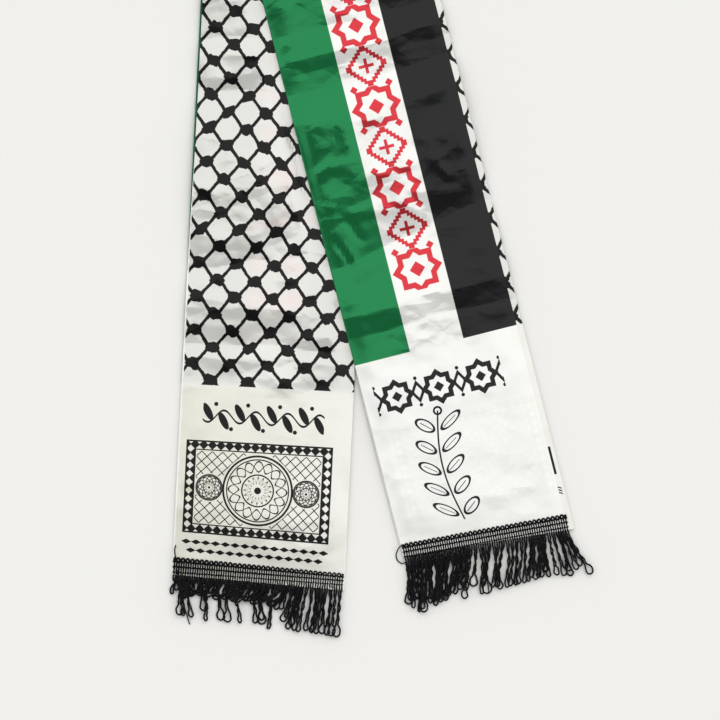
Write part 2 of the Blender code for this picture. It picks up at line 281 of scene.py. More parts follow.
# Loose thread ends, in millimetres from the hem's middle: right, out, up
NET_TAILS = (
    ((-66, -2, 4.2), (-64, 5, 3.4), (-61.5, 14, 3.2), (-58.5, 25, 2.6), (-54.5, 36, 1.2), (-52.5, 41, 0.6)),
    ((-67.5, -10, 3.6), (-68.6, -13, 4.2), (-69.2, -16.5, 3.8), (-68.6, -19.5, 3.3)),
    ((-43, 4, 2.4), (-41.4, 14, 1.6), (-40.9, 24, 0.7), (-41.7, 36, 0.7)),
)
FLAG_TAILS = (
    (
        (-67.2, -10.5, 3.6), (-70.5, -8.5, 2.6), (-73.8, -3.5, 0.7),
        (-73.6, 1.5, 0.7), (-70.6, 4.6, 1.0), (-67.8, 4.2, 2.0),
    ),
    ((-4, 3, 2.4), (-3.0, 16, 1.8), (-4.4, 28, 1.2), (-5.2, 40.5, 0.7)),
)

# Where each loop ends, in millimetres: right of its place on the hem, out from the hem, half its eye's width
NET_LOOPS = (
    (-1.6, 17.3, 0.8), (2.5, 33.8, 2.4), (8.4, 34.9, 1.4), (-3.3, 20.6, 1.0),
    (-9.2, 18.7, 1.2), (7.3, 29.1, 2.6), (-12.9, 16.6, 1.0), (0.6, 37.3, 0.8),
    (-12.5, 14.9, 1.2), (5.6, 35.7, 2.6), (-14.0, 16.0, 1.2), (3.1, 36.7, 2.6),
    (-14.4, 17.6, 1.0), (5.6, 36.8, 0.9), (-15.0, 16.9, 1.2), (-11.6, 17.6, 1.4),
    (-13.4, 18.6, 1.0), (2.5, 36.0, 1.6), (4.3, 36.4, 2.7), (-16.8, 17.0, 1.2),
    (-14.4, 18.7, 1.4), (-1.9, 39.9, 0.8), (-16.0, 16.6, 1.2), (-12.6, 19.0, 1.4),
    (-9.1, 23.6, 1.2), (-6.2, 32.9, 2.2), (-5.6, 38.8, 1.6), (-4.3, 39.6, 1.4),
    (-5.1, 40.4, 1.2), (-2.8, 39.1, 1.4), (-1.5, 40.4, 1.2), (-1.7, 40.8, 1.4),
    (-1.0, 40.5, 2.0), (-0.7, 41.4, 1.8), (-0.9, 41.7, 2.4), (-0.6, 42.2, 2.6),
)
FLAG_LOOPS = (
    (-5.0, 38.1, 2.4), (-5.3, 41.9, 1.0), (-7.4, 35.5, 2.6), (-8.7, 45.8, 0.9),
    (-9.2, 46.5, 2.7), (-6.6, 40.4, 1.2), (-6.2, 43.2, 1.4), (-5.9, 40.9, 1.6),
    (-15.2, 40.1, 1.0), (-9.2, 40.4, 1.8), (-18.6, 37.0, 1.2), (-14.1, 37.3, 1.4),
    (-11.6, 36.7, 1.2), (-8.7, 41.7, 2.0), (-10.6, 35.3, 1.8), (-7.3, 33.2, 2.6),
    (-5.5, 40.6, 0.9), (-4.7, 41.0, 3.2), (-10.5, 34.4, 1.2), (-1.1, 39.4, 1.8),
    (-10.6, 36.7, 1.0), (-11.3, 37.3, 1.4), (-7.1, 39.0, 1.2), (-7.7, 38.5, 1.2),
    (-7.3, 38.7, 1.0), (-8.9, 38.0, 1.4), (-7.5, 37.9, 1.2), (-8.0, 37.4, 1.0),
    (-5.5, 37.0, 1.6), (-3.9, 36.0, 1.4), (-2.1, 36.8, 1.2), (1.0, 36.5, 1.6),
    (3.3, 38.0, 1.8), (4.6, 39.2, 2.0), (6.3, 34.9, 1.8), (13.6, 40.4, 2.4),
)

random.seed(4974)


def smooth(value, low, high):
    """0 below low, 1 above high and an S-curve between them."""
    share = np.clip((value - low) / (high - low), 0.0, 1.0)
    return share * share * (3 - 2 * share)


def facets(x, y, seed, length, width, height):
    """The flat-sided swell of crumpled cloth: low pyramids round scattered points."""
    swell = []
    for place in zip((x / length).tolist(), (y / width).tolist()):
        swell.append(noise.voronoi(Vector((*place, seed)), distance_metric="MANHATTAN")[0][0])
    return np.array(swell) * height


def tube_thickness(from_edge):
    """Thinner at the tube's edges, where a wall turns round."""
    return EDGE_THICKNESS + (TUBE - EDGE_THICKNESS) * smooth(from_edge, 0.0, EDGE_PILLOW)


class Stretch:
    """One of the halves below the fold. side is -1 for the net stretch and 1 for the flag stretch."""

    def __init__(self, side, length, hem_skew, relief, creases):
        self.side = side
        self.length = length
        self.hem_skew = hem_skew
        self.relief = np.array(relief) * MM
        self.creases = np.array(creases) * (MM, MM, math.pi / 180, MM, MM, MM, MM / 100)
        self.down = np.array((side * math.sin(HALF_SPREAD), -math.cos(HALF_SPREAD)))
        self.right = np.array((math.cos(HALF_SPREAD), side * math.sin(HALF_SPREAD)))

    def skew(self, along):
        at_fold = self.side * math.tan(HALF_SPREAD) * (1 - smooth(along, *SKEW_FADE))
        at_hem = self.hem_skew * smooth(along, self.length - HEM_SKEW_LENGTH, self.length)
        return at_fold + at_hem

    def plan(self, along, across):
        down = along + across * self.skew(along)
        return down[:, None] * self.down + across[:, None] * self.right

    def bare(self, place):
        """0 where the flag stretch covers the net stretch and 1 clear of it."""
        if self.side > 0:
            return np.ones(len(place))
        return smooth(-HALF_WIDTH - place @ FLAG.right, *CLEAR_OF_COVER)

    def lie(self, place, along):
        """Height of the tube's underside, without its packing folds."""
        if self.side < 0:
            return np.zeros(len(place))
        beside = place @ NET.right - HALF_WIDTH
        return LAYER * (1 - smooth(beside, *DRAPE)) + FOLD_LIFT * (1 - smooth(along, 0.0, FOLD_LIFT_FADE))

    def long_relief(self, along, across):
        """The folds that run right across, a little bent and slightly rounded at their crests."""
        lean = np.array(FOLD_LEAN)
        bend = -across * np.interp(along, lean[:, 0], lean[:, 1])
        for size, fast_across, fast_along in FOLD_BENDS:
            bend = bend + size * np.sin(across * fast_across + along * fast_along)
        total = 0.0
        for shift in (-RELIEF_ROUNDING, 0.0, RELIEF_ROUNDING):
            total = total + np.interp(along + bend + shift, self.relief[:, 0], self.relief[:, 1])
        return total / 3 * FOLD_GAIN

    def short_creases(self, along, across):
        total = np.zeros(len(along))
        for centre, place, turn, length, to_fold, to_hem, height in self.creases:
            run = (across - place) * math.cos(turn) + (along - centre) * math.sin(turn)
            off = (along - centre) * math.cos(turn) - (across - place) * math.sin(turn)
            off = off + CREASE_BEND[0] * np.sin(run * CREASE_BEND[1] + centre * 900)
            side = np.where(off < 0, -off / to_fold, off / to_hem) / CREASE_REACH
            rise = np.sqrt(np.maximum(0.0, 1 - side) ** 2 + CREASE_BLUNT) - math.sqrt(CREASE_BLUNT)
            total += height * rise * smooth(np.abs(run), length / 2, length / 5)
        return total * CREASE_GAIN

    def crumple(self, along, across):
        """Shallow facets all over, in patches."""
        seed = 3.0 + self.side
        patchy = []
        for place in zip((along * 14).tolist(), (across * 14).tolist()):
            patchy.append(0.6 + 0.8 * noise.noise(Vector((*place, seed))))
        turned = along * FACET_TURN[0] + across * FACET_TURN[1]
        beside = across * FACET_TURN[0] - along * FACET_TURN[1]
        coarse = facets(turned, beside, seed, *COARSE_FACETS)
        fine = facets(along, across, seed + 5, *FINE_FACETS)
        return (coarse + fine - FACET_MEAN) * np.clip(patchy, 0.15, 1.3)

    def heights(self, along, across):
        """Heights of the tube's two outer faces, lower and upper."""
        place = self.plan(along, across)
        from_edge = HALF_WIDTH - np.abs(across)
        bare = self.bare(place) * smooth(along, 0.0, RELIEF_FROM_FOLD)
        folds = self.long_relief(along, across)
        lower = self.lie(place, along) + folds * bare * WHOLE_TUBE_SHARE
        crown = 1 - np.minimum(1.0, np.abs(across) / HALF_WIDTH) ** 4
        relief = folds * crown * (1 - WHOLE_TUBE_SHARE)
        block_start, block_end = (self.length - distance for distance in BLOCK_FADE)
        calm = 1 - (1 - BLOCK_RELIEF) * smooth(along, block_start, block_end)
        to_hem = smooth(self.length - along, *RELIEF_FROM_HEM) * calm
        relief += self.short_creases(along, across) * smooth(from_edge, *CREASE_FROM_EDGE) * to_hem
        relief += self.crumple(along, across) * smooth(from_edge, *CRUMPLE_FROM_EDGE) * to_hem
        upper = lower + np.maximum(tube_thickness(from_edge) + relief * bare, EDGE_THICKNESS)
        return lower, upper


NET = Stretch(-1, NET_STRETCH, NET_HEM_SKEW, NET_RELIEF, NET_CREASES)
FLAG = Stretch(1, FLAG_STRETCH, FLAG_HEM_SKEW, FLAG_RELIEF, FLAG_CREASES)


def to_part(points):
    """From the fold's own frame to the part's frame."""
    turn = np.array(Matrix.Rotation(TURN, 3, "Z"))
    return points @ turn.T + FOLD_CENTRE


def cloth_rows(upper_stretch):
    """Rows from the net hem round the fold to the flag hem, closer where this panel is on top."""
    rows = []
    for stretch in (NET, FLAG):
        pitch = ROW_PITCH if stretch is upper_stretch else HIDDEN_ROW_PITCH
        count = math.ceil(stretch.length / pitch)
        rows.append([(stretch, stretch.length * k / count) for k in range(count + 1)])
    bend = [(None, k / FOLD_STEPS) for k in range(1, FOLD_STEPS)]
    return rows[0][::-1] + bend + rows[1]


def section(side, own_wrap, other_wrap):
    """A panel's section from its seam across and round the edge at side.

    Each point is its place across, its share of the tube's thickness and its place on the flat cloth."""
    radius = EDGE_THICKNESS / 2
    centre = HALF_WIDTH - radius
    seam = -(HALF_WIDTH - other_wrap - SEAM)
    flat = [seam + step for step in EDGE_COLUMNS[:-1]]
    flat += np.arange(seam + EDGE_COLUMNS[-1], centre - EDGE_COLUMNS[-1], COLUMN_PITCH).tolist()
    flat += [centre - step for step in EDGE_COLUMNS[::-1]]
    points = [(side * place, 1.0, side * place) for place in flat]
    for k in range(1, EDGE_STEPS):
        angle = math.pi * k / EDGE_STEPS
        place = centre + radius * math.sin(angle)
        points.append((side * place, (1 + math.cos(angle)) / 2, side * (centre + radius * angle)))
    lip = HALF_WIDTH - own_wrap
    steps = max(2, math.ceil((centre - lip) / WRAP_PITCH))
    for k in range(steps + 1):
        place = centre - (centre - lip) * k / steps
        points.append((side * place, 0.0, side * (centre + radius * math.pi + (centre - place))))
    return np.array(points)


def panel_points(rows, points, flag_side):
    """Places of a panel's vertices, and on the flat cloth: across, along, and past the end block's start."""
    places = []
    flat = []
    across, share, unrolled = points.T
    inside = np.clip(across, -HALF_WIDTH, HALF_WIDTH)
    thickness = tube_thickness(HALF_WIDTH - np.abs(inside))
    for stretch, station in rows:
        if stretch is None:
            angle = math.pi * station
            flag_radius = FOLD_MIDDLE - station * (TUBE - thickness)
            to_flag = share if flag_side else 1 - share
            radius = flag_radius - thickness * (1 - to_flag)
            height = FOLD_MIDDLE - radius * math.cos(angle)
            row = np.column_stack((across / math.cos(HALF_SPREAD), radius * math.sin(angle), height))
            along = np.full(len(across), FOLD_REACH * (station - 0.5))
        else:
            along = np.full(len(across), station)
            lower, upper = stretch.heights(along, inside)
            up = share if flag_side == (stretch.side > 0) else 1 - share
            row = np.column_stack((stretch.plan(along, across), lower + (upper - lower) * up))
            along = along * stretch.side
        places.append(row)
        flat.append(flat_cloth(along, unrolled, flag_side))
    return to_part(np.concatenate(places)), np.concatenate(flat)


def flat_cloth(along, unrolled, flag_side):
    """Print coordinates in millimetres. along is from the fold, below zero on the net stretch."""
    distance = np.abs(along)
    print_end = NET_PRINT_END if along[0] < 0 else FLAG_PRINT_END
    across = unrolled / MM
    down = distance / MM
    if not flag_side:
        near_fold = 1 - smooth(down, 0.0, NET_FADE)
        lean = np.where(along < 0, np.maximum(NET_LEAN_START - down, 0.0), NET_LEAN_START * near_fold)
        hidden = np.where(along > 0, 1 - near_fold, 0.0)
        across = across - NET_LEAN * lean - NET_HIDDEN_SHIFT[0] * hidden
        down = down + NET_FOLD_SHIFT * near_fold - NET_HIDDEN_SHIFT[1] * hidden
    past = (distance - print_end) / MM
    return np.column_stack((across, down, past))


def grid_mesh(name, places, flat, columns):
    """Quads over rows of points, with the flat-cloth coordinates on the points and as a UV map."""
    rows = len(places) // columns
    bm = bmesh.new()
    bmesh.ops.create_grid(bm, x_segments=columns - 1, y_segments=rows - 1, size=0.5)
    order = []
    for vertex in bm.verts:
        column = round((vertex.co.x + 0.5) * (columns - 1))
        row = round((vertex.co.y + 0.5) * (rows - 1))
        order.append(row * columns + column)
    mesh = bpy.data.meshes.new(name)
    bm.to_mesh(mesh)
    bm.free()
    mesh.vertices.foreach_set("co", places[order].astype(np.float32).ravel())
    cloth = mesh.attributes.new("cloth", "FLOAT_VECTOR", "POINT")
    cloth.data.foreach_set("vector", flat[order].astype(np.float32).ravel())
    corners = np.zeros(len(mesh.loops), np.int32)
    mesh.loops.foreach_get("vertex_index", corners)
    length = SCARF_LENGTH / MM
    uv = np.column_stack((flat[order][:, 0] / length + 0.5, flat[order][:, 1] / length))
    layer = mesh.uv_layers.new(name="UVMap")
    layer.data.foreach_set("uv", uv[corners].astype(np.float32).ravel())
    mesh.shade_smooth()
    return mesh


def add_object(name, data):
    item = bpy.data.objects.new(name, data)
    bpy.context.scene.collection.objects.link(item)
    return item


def add_piece(name, mesh, material, node):
    piece = add_object(name, mesh)
    mesh.materials.append(material)
    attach(piece, "root")
    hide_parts(node)
    return piece


def cloth_panel(name, flag_side, own_wrap, other_wrap, material, node):
    """A panel of satin on the outer face of its wall."""
    points = section(-1 if flag_side else 1, own_wrap, other_wrap)
    rows = cloth_rows(FLAG if flag_side else NET)
    places, flat = panel_points(rows, points, flag_side)
    mesh = grid_mesh(name, places, flat, len(points))
    piece = add_piece(name, mesh, material, node)
    shell = piece.modifiers.new("Satin", "SOLIDIFY")
    shell.thickness = SATIN
    shell.offset = -1.0
    graph = bpy.context.evaluated_depsgraph_get()
    piece.data = bpy.data.meshes.new_from_object(piece.evaluated_get(graph))
    piece.modifiers.clear()
    piece.data.shade_smooth()
    piece.data.set_sharp_from_angle(angle=math.radians(CREASE_ANGLE))
    return piece


class Field:
    """A value that varies over a surface, worked out by nodes in the tree being built."""

    tree = None

    def __init__(self, socket):
        self.socket = socket

    def feed(self, node, name):
        Field.tree.links.new(self.socket, node.inputs[name])

    def __add__(self, other):
        return node_math("ADD", self, other)

    __radd__ = __add__

    def __sub__(self, other):
        return node_math("SUBTRACT", self, other)

    def __rsub__(self, other):
        return node_math("SUBTRACT", other, self)

    def __mul__(self, other):
        return node_math("MULTIPLY", self, other)

    __rmul__ = __mul__

    def __truediv__(self, other):
        return node_math("DIVIDE", self, other)

    def __pow__(self, other):
        return node_math("POWER", self, other)

    def __abs__(self):
        return node_math("ABSOLUTE", self)


def fill(socket, value):
    """Links a field to the socket, or sets the socket's own value."""
    if isinstance(value, Field):
        Field.tree.links.new(value.socket, socket)
    else:
        socket.default_value = value


def add_node(kind, **inputs):
    """A shader node in the tree being built, with its inputs filled by name."""
    node = Field.tree.nodes.new("ShaderNode" + kind)
    for name, value in inputs.items():
        fill(node.inputs[name], value)
    return node


def node_math(operation, *values, clamp=False):
    node = add_node("Math")
    node.operation = operation
    node.use_clamp = clamp
    for socket, value in zip(node.inputs, values):
        fill(socket, value)
    return Field(node.outputs[0])


def lesser(first, *others):
    for other in others:
        first = node_math("MINIMUM", first, other)
    return first


def greater(first, *others):
    for other in others:
        first = node_math("MAXIMUM", first, other)
    return first


def centred(value, period):
    """value less its nearest multiple of period."""
    return value - whole(value, period) * period


def whole(value, period):
    """The number of the repeat that value is nearest to."""
    return node_math("ROUND", value / period)


def stepped(value, step):
    """value in whole steps, as counted on a stitched chart."""
    return node_math("FLOOR", value / step) * step


def reach(x, y):
    return node_math("SQRT", x * x + y * y)


def inside(distance, softness=0.15):
    """1 where distance is below zero, with a soft edge."""
    return node_math("MULTIPLY_ADD", distance, -1.0 / softness, 0.5, clamp=True)


def clip(value):
    return node_math("ADD", value, 0.0, clamp=True)


def box_distance(x, y, half_x, half_y):
    return greater(abs(x) - half_x, abs(y) - half_y)


def ring(distance, radius, half_line):
    return abs(distance - radius) - half_line


def noise_field(vector, scale, detail=2.0, roughness=0.5):
    node = add_node("TexNoise", Vector=vector, Scale=scale, Detail=detail, Roughness=roughness)
    return Field(node.outputs["Fac"])


def facet_field(vector, scale, turn, stretch):
    """Height of low, flat-sided pyramids in millimetres, on a turned and stretched grid."""
    mapping = add_node("Mapping", Vector=vector, Rotation=(0.0, 0.0, turn), Scale=(1.0, stretch, 0.0))
    node = add_node("TexVoronoi", Vector=Field(mapping.outputs["Vector"]), Scale=scale)
    node.voronoi_dimensions = "2D"
    node.distance = "MANHATTAN"
    return Field(node.outputs["Distance"]) / scale


def patches(vector, scale, gain, cut, detail=1.0):
    """Soft patches, 0 to 1. A larger cut leaves fewer."""
    return clip(noise_field(vector, scale, detail) * gain - cut)


def waver(vector, scale, size, detail=1.0):
    """Smooth noise about zero."""
    return (noise_field(vector, scale, detail) - 0.5) * size


def mixed(first, second, share):
    """The second colour over the first, by share."""
    node = add_node("Mix", Factor=share)
    node.data_type = "RGBA"
    for name, colour in (("A", first), ("B", second)):
        fill([item for item in node.inputs if item.name == name and item.type == "RGBA"][0], colour)
    return Field([item for item in node.outputs if item.type == "RGBA"][0])


def new_material(name, values):
    """A material with these values on its shader. Nodes added next go into its tree."""
    material = bpy.data.materials.new(name)
    material.use_nodes = True
    Field.tree = material.node_tree
    shader = Field.tree.nodes["Principled BSDF"]
    for socket, value in values.items():
        shader.inputs[socket].default_value = value
    return material, shader


def add_bump(shader, height, strength, distance):
    bump = add_node("Bump", Height=height, Strength=strength, Distance=distance)
    Field(bump.outputs["Normal"]).feed(shader, "Normal")


def fishnet(across, along, vector):
    """Black share of the fishnet print: ropes between staggered knots."""
    x = across + waver(vector, 0.085, 1.5) - NET_PHASE[0]
    y = along + waver(vector, 0.11, 1.5) - NET_PHASE[1]
    corner_x = centred(x, NET_ACROSS)
    corner_y = centred(y, NET_ALONG)
    middle_x = centred(x - NET_ACROSS / 2, NET_ACROSS)
    middle_y = centred(y - NET_ALONG / 2, NET_ALONG)
    to_corner = corner_x * corner_x + corner_y * corner_y
    to_middle = middle_x * middle_x + middle_y * middle_y
    at_middle = node_math("LESS_THAN", to_middle, to_corner)
    near_x = corner_x + (middle_x - corner_x) * at_middle
    near_y = corner_y + (middle_y - corner_y) * at_middle
    rope = (abs(near_x) - NET_ACROSS / 4) * math.sin(ROPE_STEEP)
    rope = rope - (abs(near_y) - NET_ALONG / 4) * math.cos(ROPE_STEEP)
    flare = greater(1.0 - reach(near_x, near_y) / FLARE_REACH, 0.0) * ROPE_FLARE
    rope = abs(rope) - ROPE_HALF - flare + waver(vector, 0.42, 0.9)
    tilt = waver(vector, 0.035, 1.6, 0.0)
    knot_x = abs(near_x / KNOT_HALF[0]) ** KNOT_SQUARENESS
    knot_y = (abs(near_y + near_x * tilt) / KNOT_HALF[1]) ** KNOT_SQUARENESS
    knot = (knot_x + knot_y) ** (1 / KNOT_SQUARENESS) + waver(vector, 0.24, 0.7)
    knot = (knot - 1.0) * KNOT_HALF[1]
    return inside(lesser(rope, knot), 0.25)


def star_ornament(x, y, size, half_line, core):
    """An eight-pointed star outlined round a small lozenge."""
    star = lesser(greater(x, y), (x + y) * 0.7071)
    return lesser(ring(star, size, half_line), x + y - core)


def lozenge_ornament(x, y):
    """A stepped lozenge outlined round a stepped cross."""
    steps = stepped(x, STITCH) + stepped(y, STITCH)
    outline = ring(steps, 12.6, 2.5)
    cross = greater(lesser(x, y) - 1.3, greater(x, y) - 6.2)
    return lesser(outline, cross)


def red_ornament(across, along):
    """Red share of the white band: stars and stepped lozenges in turn."""
    y = along - ORNAMENT_START - ORNAMENT_PITCH / 2
    odd = abs(centred(whole(y, ORNAMENT_PITCH), 2.0))
    x = abs(across - BAND_MIDDLE)
    y = abs(centred(y, ORNAMENT_PITCH))
    star = inside(star_ornament(x, y, 12.4, 2.3, 6.5))
    lozenge = inside(lozenge_ornament(x, y))
    corner = inside(abs(x - 14.6) + abs(y - 17.0) - 3.4)
    motif = star + (lozenge - star) * clip(odd)
    half_length = ORNAMENT_PITCH * ORNAMENT_REPEATS / 2
    past_end = abs(along - ORNAMENT_START - half_length) - half_length
    return greater(motif, corner * inside(past_end + 8.0)) * inside(past_end)


def garland(x, y):
    """A waving stem with a leaf in each bend and dots beside it, 99 mm long."""
    pitch = 26.0
    leaf_wide = 3.3
    leaf_long = 7.0
    wave = node_math("SINE", x * (2 * math.pi / pitch)) * 5.0
    shapes = [abs(y - wave) - 0.9]
    for side in (1, -1):
        off = centred(x - side * pitch / 4, pitch)
        rise = y + side * 3.5
        leaf = reach((off - rise * 0.45) / leaf_wide, rise / leaf_long)
        shapes.append((leaf - 1.0) * leaf_wide)
        shapes.append(reach(off - 6.4, y + side * 10.0) - 1.7)
    return inside(lesser(*shapes)) * inside(abs(x) - 49.5)


def rosette(x, y, radius, petals, line):
    """Rings, petals and a star in line, as a turned medallion."""
    far = reach(x, y)
    angle = node_math("ARCTAN2", y, x)
    swing = node_math("COSINE", angle * petals) * (radius * 0.15)
    fine_swing = node_math("COSINE", angle * (petals * 2)) * (radius * 0.09)
    shapes = []
    for middle, half_line in (
        (radius, line),
        (radius * 0.9, line * 0.6),
        (radius * 0.46, line * 0.7),
        (radius * 0.70 + swing, line * 0.8),
        (radius * 0.70 - swing, line * 0.8),
        (radius * 0.30 + fine_swing, line * 0.7),
        (0.0, radius * 0.10),
    ):
        shapes.append(ring(far, middle, half_line))
    spokes = abs(node_math("SINE", angle * petals)) * far - line
    return lesser(greater(spokes, ring(far, radius * 0.40, radius * 0.06)), *shapes)


def medallion_panel(x, y):
    """A large rosette between two small ones, on a lattice in a notched frame."""
    half_x, half_y, border, inset = 59.0, 38.0, 7.0, 8.2
    outer_edge = box_distance(x, y, half_x, half_y)
    inner_edge = box_distance(x, y, half_x - border, half_y - border)
    frame_line = lesser(abs(outer_edge) - 0.7, abs(inner_edge) - 0.5)
    beads = 3.0 - abs(centred(x, border)) - abs(centred(y - border / 2, border))
    beads = greater(beads, outer_edge, inner_edge * -1.0)
    apart = abs(x) - 39.5
    large = greater(rosette(x, y, 28.0, 8.0, 0.85), abs(y) - (half_y - inset))
    small = rosette(apart, y, 10.5, 6.0, 0.6)
    lattice = lesser(abs(centred(x + y, 8.5)), abs(centred(x - y, 8.5))) - 0.55
    in_panel = box_distance(x, y, half_x - inset, half_y - inset)
    lattice = greater(lattice, in_panel, 30.0 - reach(x, y), 12.0 - reach(apart, y))
    return lesser(frame_line, beads, large, small, lattice)


def net_end_block(across, past):
    """The plain block on a net side: garland, framed panel and two rows of lozenges."""
    shapes = [garland(across + 2.0, past - 25.0), inside(medallion_panel(across + 4.0, past - 84.0))]
    for shift, down, half_length in ((4.0, 130.0, 60.0), (0.0, 137.0, 56.0)):
        row = abs(centred(across + shift, 8.0)) * 0.5 + abs(past - down) - 2.1
        shapes.append(inside(row) * inside(abs(across + 4.0) - half_length))
    return greater(*shapes)


def bold_ornament(x, y):
    """A bold row of stars and lozenges, 106 mm long and 24 mm high."""
    pitch = 35.0
    star_x = abs(centred(x, pitch))
    high = abs(y)
    star = star_ornament(star_x, high, 8.6, 1.9, 4.4)
    gap_x = abs(centred(x + pitch / 2, pitch))
    lozenge = abs(gap_x * 1.6 + high - 7.5) - 2.2
    dots = reach(gap_x, high - 11.2) - 1.5
    return inside(lesser(star, lozenge, dots)) * inside(abs(x) - 53.0)


def branch(x, y):
    """An outlined branch: a bowed stem with pairs of leaves, 92 mm long."""
    length = 92.0
    off = x + node_math("SINE", y * (math.pi / length)) * 7.0
    from_middle = abs(y - length / 2)
    stem = greater(abs(off) - 0.7, from_middle - length / 2)
    leaf_y = centred(y - 9.8, 18.0) - 4.2
    side = abs(off)
    run = side * 0.80 - leaf_y * 0.60
    rise = leaf_y * 0.80 + side * 0.60
    leaf = reach((run - 11.0) / 9.0, (rise - 3.0) / 3.8)
    leaf = abs(leaf - 1.0) * 3.8 - 0.55
    vein = greater(abs(rise - 3.0) - 0.3, abs(run - 10.0) - 6.0)
    leaves = greater(lesser(leaf, vein), from_middle - (length / 2 - 2.0))
    bud = ring(reach(x, y), 3.0, 0.85)
    return inside(lesser(stem, leaves, bud))


def satin_material(name, paint):
    """Printed satin. paint gives its colour and share of ink, from the flat-cloth coordinates."""
    material, shader = new_material(name, SATIN_SHADER)
    cloth = add_node("Attribute")
    cloth.attribute_name = "cloth"
    vector = Field(cloth.outputs["Vector"])
    parts = add_node("SeparateXYZ", Vector=vector)
    across, along, past = (Field(parts.outputs[axis]) for axis in ("X", "Y", "Z"))
    colour, ink = paint(across, along, past, vector)
    colour.feed(shader, "Base Color")
    shine = ink * (INK_SHINE - WHITE_SHINE) + WHITE_SHINE
    shine.feed(shader, "Metallic")
    tangent = add_node("Tangent")
    tangent.direction_type = "UV_MAP"
    tangent.uv_map = "UVMap"
    Field(tangent.outputs["Tangent"]).feed(shader, "Tangent")
    weave = node_math("SINE", across * 13.0) * node_math("SINE", along * 11.0 + across * 3.0) * WEAVE_HEIGHT
    slub = noise_field(vector, 0.9, 3.0, 0.6) * SLUB_HEIGHT
    creases = 0.0
    for scale, turn, stretch, height in SATIN_FACETS:
        creases = creases + facet_field(vector, scale, turn, stretch) * height
    patch = patches(vector, 0.016, 3.2, 1.1)
    calm = 1.0 - inside(past * -1.0, 16.0) * (1 - BLOCK_RELIEF)
    add_bump(shader, weave + slub + creases * (patch + 0.12) * calm, 1.0, MM)
    return material


def white_ground(vector, cream):
    """White satin with faint cream and grey clouds."""
    cloud = patches(vector, 0.018, 3.0, 1.35, 2.0)
    ground = mixed(WHITE, CREAM_SHADE, cloud * cream)
    cloud = patches(vector, 0.031, 3.4, 1.6)
    return mixed(ground, GREY_SHADE, cloud * 0.16)


def paint_flag(across, along, past, vector):
    """Green, white and black bands with a red ornament, then a block with a bold row and a branch."""
    in_bands = inside(past, END_SOFT)
    through = fishnet(across, along, vector) * in_bands
    patch = patches(vector, 0.03, 4.0, 1.9)
    colour = mixed(white_ground(vector, 0.15), GREY_SHADE, through * patch * 0.22)
    ghost = inside(medallion_panel(across - 4.0, past - 96.0), 1.2) * 0.13
    colour = mixed(colour, GREY_SHADE, ghost)
    red = red_ornament(across, along)
    colour = mixed(colour, RED, red)
    block = greater(bold_ornament(across + 8.0, past - 33.0), branch(across + 14.0, past - 52.0))
    block = block * inside(past * -1.0)
    colour = mixed(colour, BLACK, block)
    back, start, length = GREEN_WRAP_BACK
    wrap_end = GREEN_WRAP_END - clip((along - start) / length) * back
    green = inside(across - GREEN_EDGE, BAND_SOFT) * in_bands * inside(across * -1.0 - wrap_end)
    # Past the turned edge the green is painted darker: painted shade for the edge's shadow
    colour = mixed(colour, mixed(GREEN, PAINTED_SHADE_GREEN, inside(across + GREEN_FOLD, 0.6)), green)
    black = inside(BLACK_EDGE - across, BAND_SOFT) * in_bands
    return mixed(colour, BLACK, black), greater(red, green, black, block)


def paint_net(across, along, past, vector):
    """Black fishnet on white with faint pink patches, then the plain end block."""
    x = across - 2.0
    band = inside(abs(x) - 23.0, 14.0)
    spot = abs(centred(along - ORNAMENT_START, ORNAMENT_PITCH)) - 9.0
    pink = band * inside(spot, 12.0) * patches(vector, 0.05, 4.0, 1.6)
    in_run = inside(abs(along - 280.0) - 165.0, 20.0)
    backed = inside(past, 6.0) * (1.0 - band * 0.35)
    # The end block's white turns creamier and darker towards its left edge
    cream = inside(past * -1.0, 6.0) * (0.60 - across * 0.004)
    ground = mixed(white_ground(vector, 0.4), CREAM_SHADE, cream)
    colour = mixed(mixed(ground, BACKED_SHADE, backed), PINK_SHADE, pink * in_run * 0.5)
    net = fishnet(across, along, vector) * inside(past, END_SOFT)
    colour = mixed(colour, NET_BLACK, net)
    block = net_end_block(across, past) * inside(past * -1.0)
    bar = inside(box_distance(across - 71.2, past - 110.0, 1.0, 11.0))
    dashes = abs(centred(past + across * 0.5, 2.2)) - 0.55
    marks = inside(greater(box_distance(across - 70.8, past - 134.0, 1.5, 3.3), dashes))
    on_flag_stretch = inside(along - past - 476.0, 1.0)
    block = greater(block, greater(bar, marks) * on_flag_stretch)
    return mixed(colour, NET_BLACK, block), greater(net, block)


def yarn_material():
    """Black twisted yarn: matt, with a dry sheen and short lighter fibres."""
    material, shader = new_material("Black yarn", YARN_SHADER)
    place = Field(add_node("TexCoord").outputs["Object"])
    fibre = noise_field(place, 2600.0, 3.0, 0.7)
    fade = noise_field(place, 60.0, 2.0)
    share = clip(fibre * 1.6 - 0.75) * 0.55 + clip(fade - 0.45) * 0.8
    mixed(YARN_DARK, YARN_LIGHT, clip(share)).feed(shader, "Base Color")
    add_bump(shader, fibre, 0.5, 0.0002)
    return material


